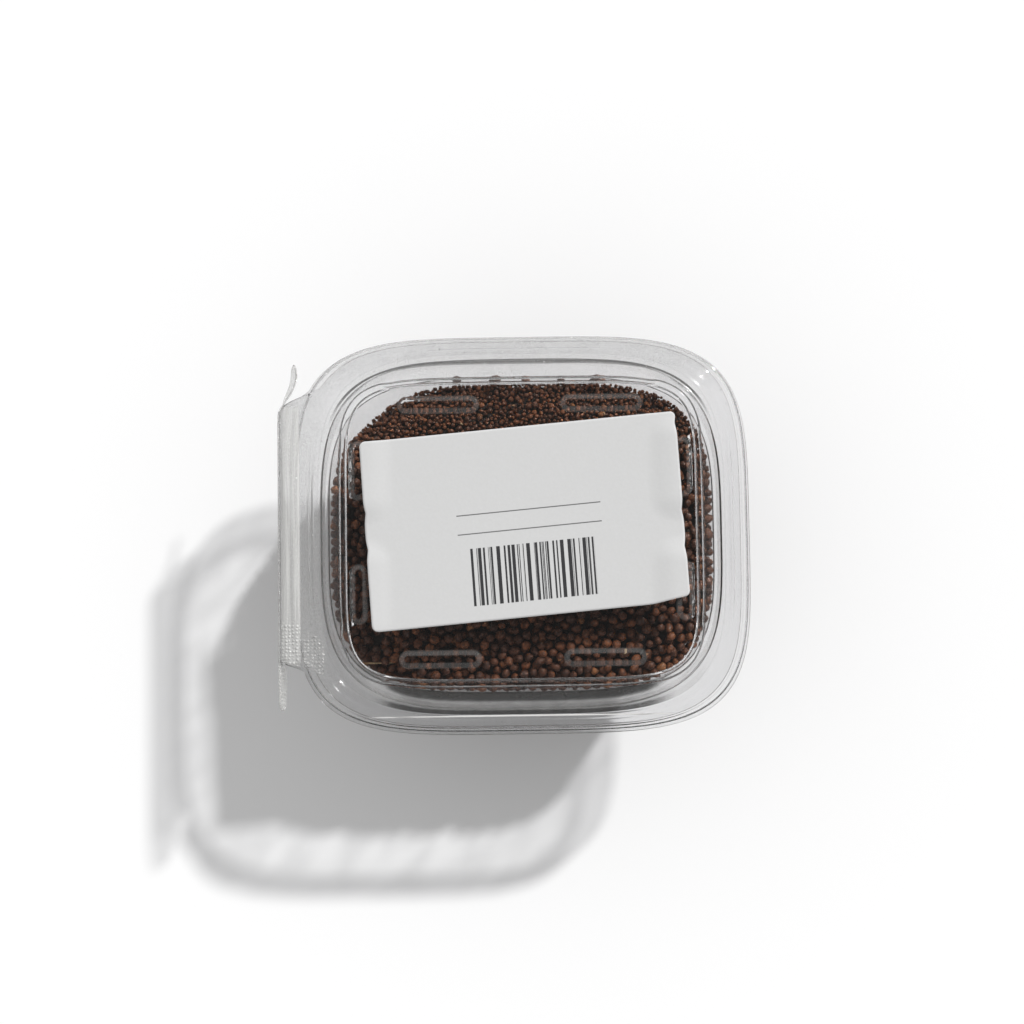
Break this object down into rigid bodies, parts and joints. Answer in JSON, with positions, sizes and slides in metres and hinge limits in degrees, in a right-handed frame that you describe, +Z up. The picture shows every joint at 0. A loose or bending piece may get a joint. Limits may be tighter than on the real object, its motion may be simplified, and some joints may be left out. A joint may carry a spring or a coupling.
{
  "type": "hinged clear tub of alligator pepper seeds",
  "caption": "Clear hinged tub with a raised lid, an upright tear strip and a bare paper label, filled with a tilted heap of small round brown seeds.",
  "frame": {"origin": "bottom centre of the whole object's box, on the surface that it stands on", "axes": "+Z up, +X from the hinge to the opposite side, +Y away from the viewer of the picture"},
  "size_m": [0.1366, 0.1156, 0.0602],
  "materials": {
    "clear_tub": "clear thermoformed sheet",
    "clear_strip": "clear sheet with a fine grip stipple",
    "clear_lid": "clear thermoformed sheet",
    "label_paper": "matte white label stock",
    "seed_skin": "matte dark brown seed coat"
  },
  "bodies": {
    "base": {"tub": "clear_tub", "seeds": "seed_skin"},
    "strip": {"tear_strip": "clear_strip"},
    "cover": {"lid": "clear_lid", "label": "label_paper"}
  },
  "joints": [
    {"name": "strip_fold", "type": "hinge", "parent": "base", "child": "strip", "pos_m": [-0.06792, 0, 0.04335], "axis": [0, -1, 0], "range_deg": [0, 90]},
    {"name": "lid_fold", "type": "hinge", "parent": "strip", "child": "cover", "pos_m": [-0.06792, 0, 0.05065], "axis": [0, -1, 0], "range_deg": [0, 90]}
  ]
}
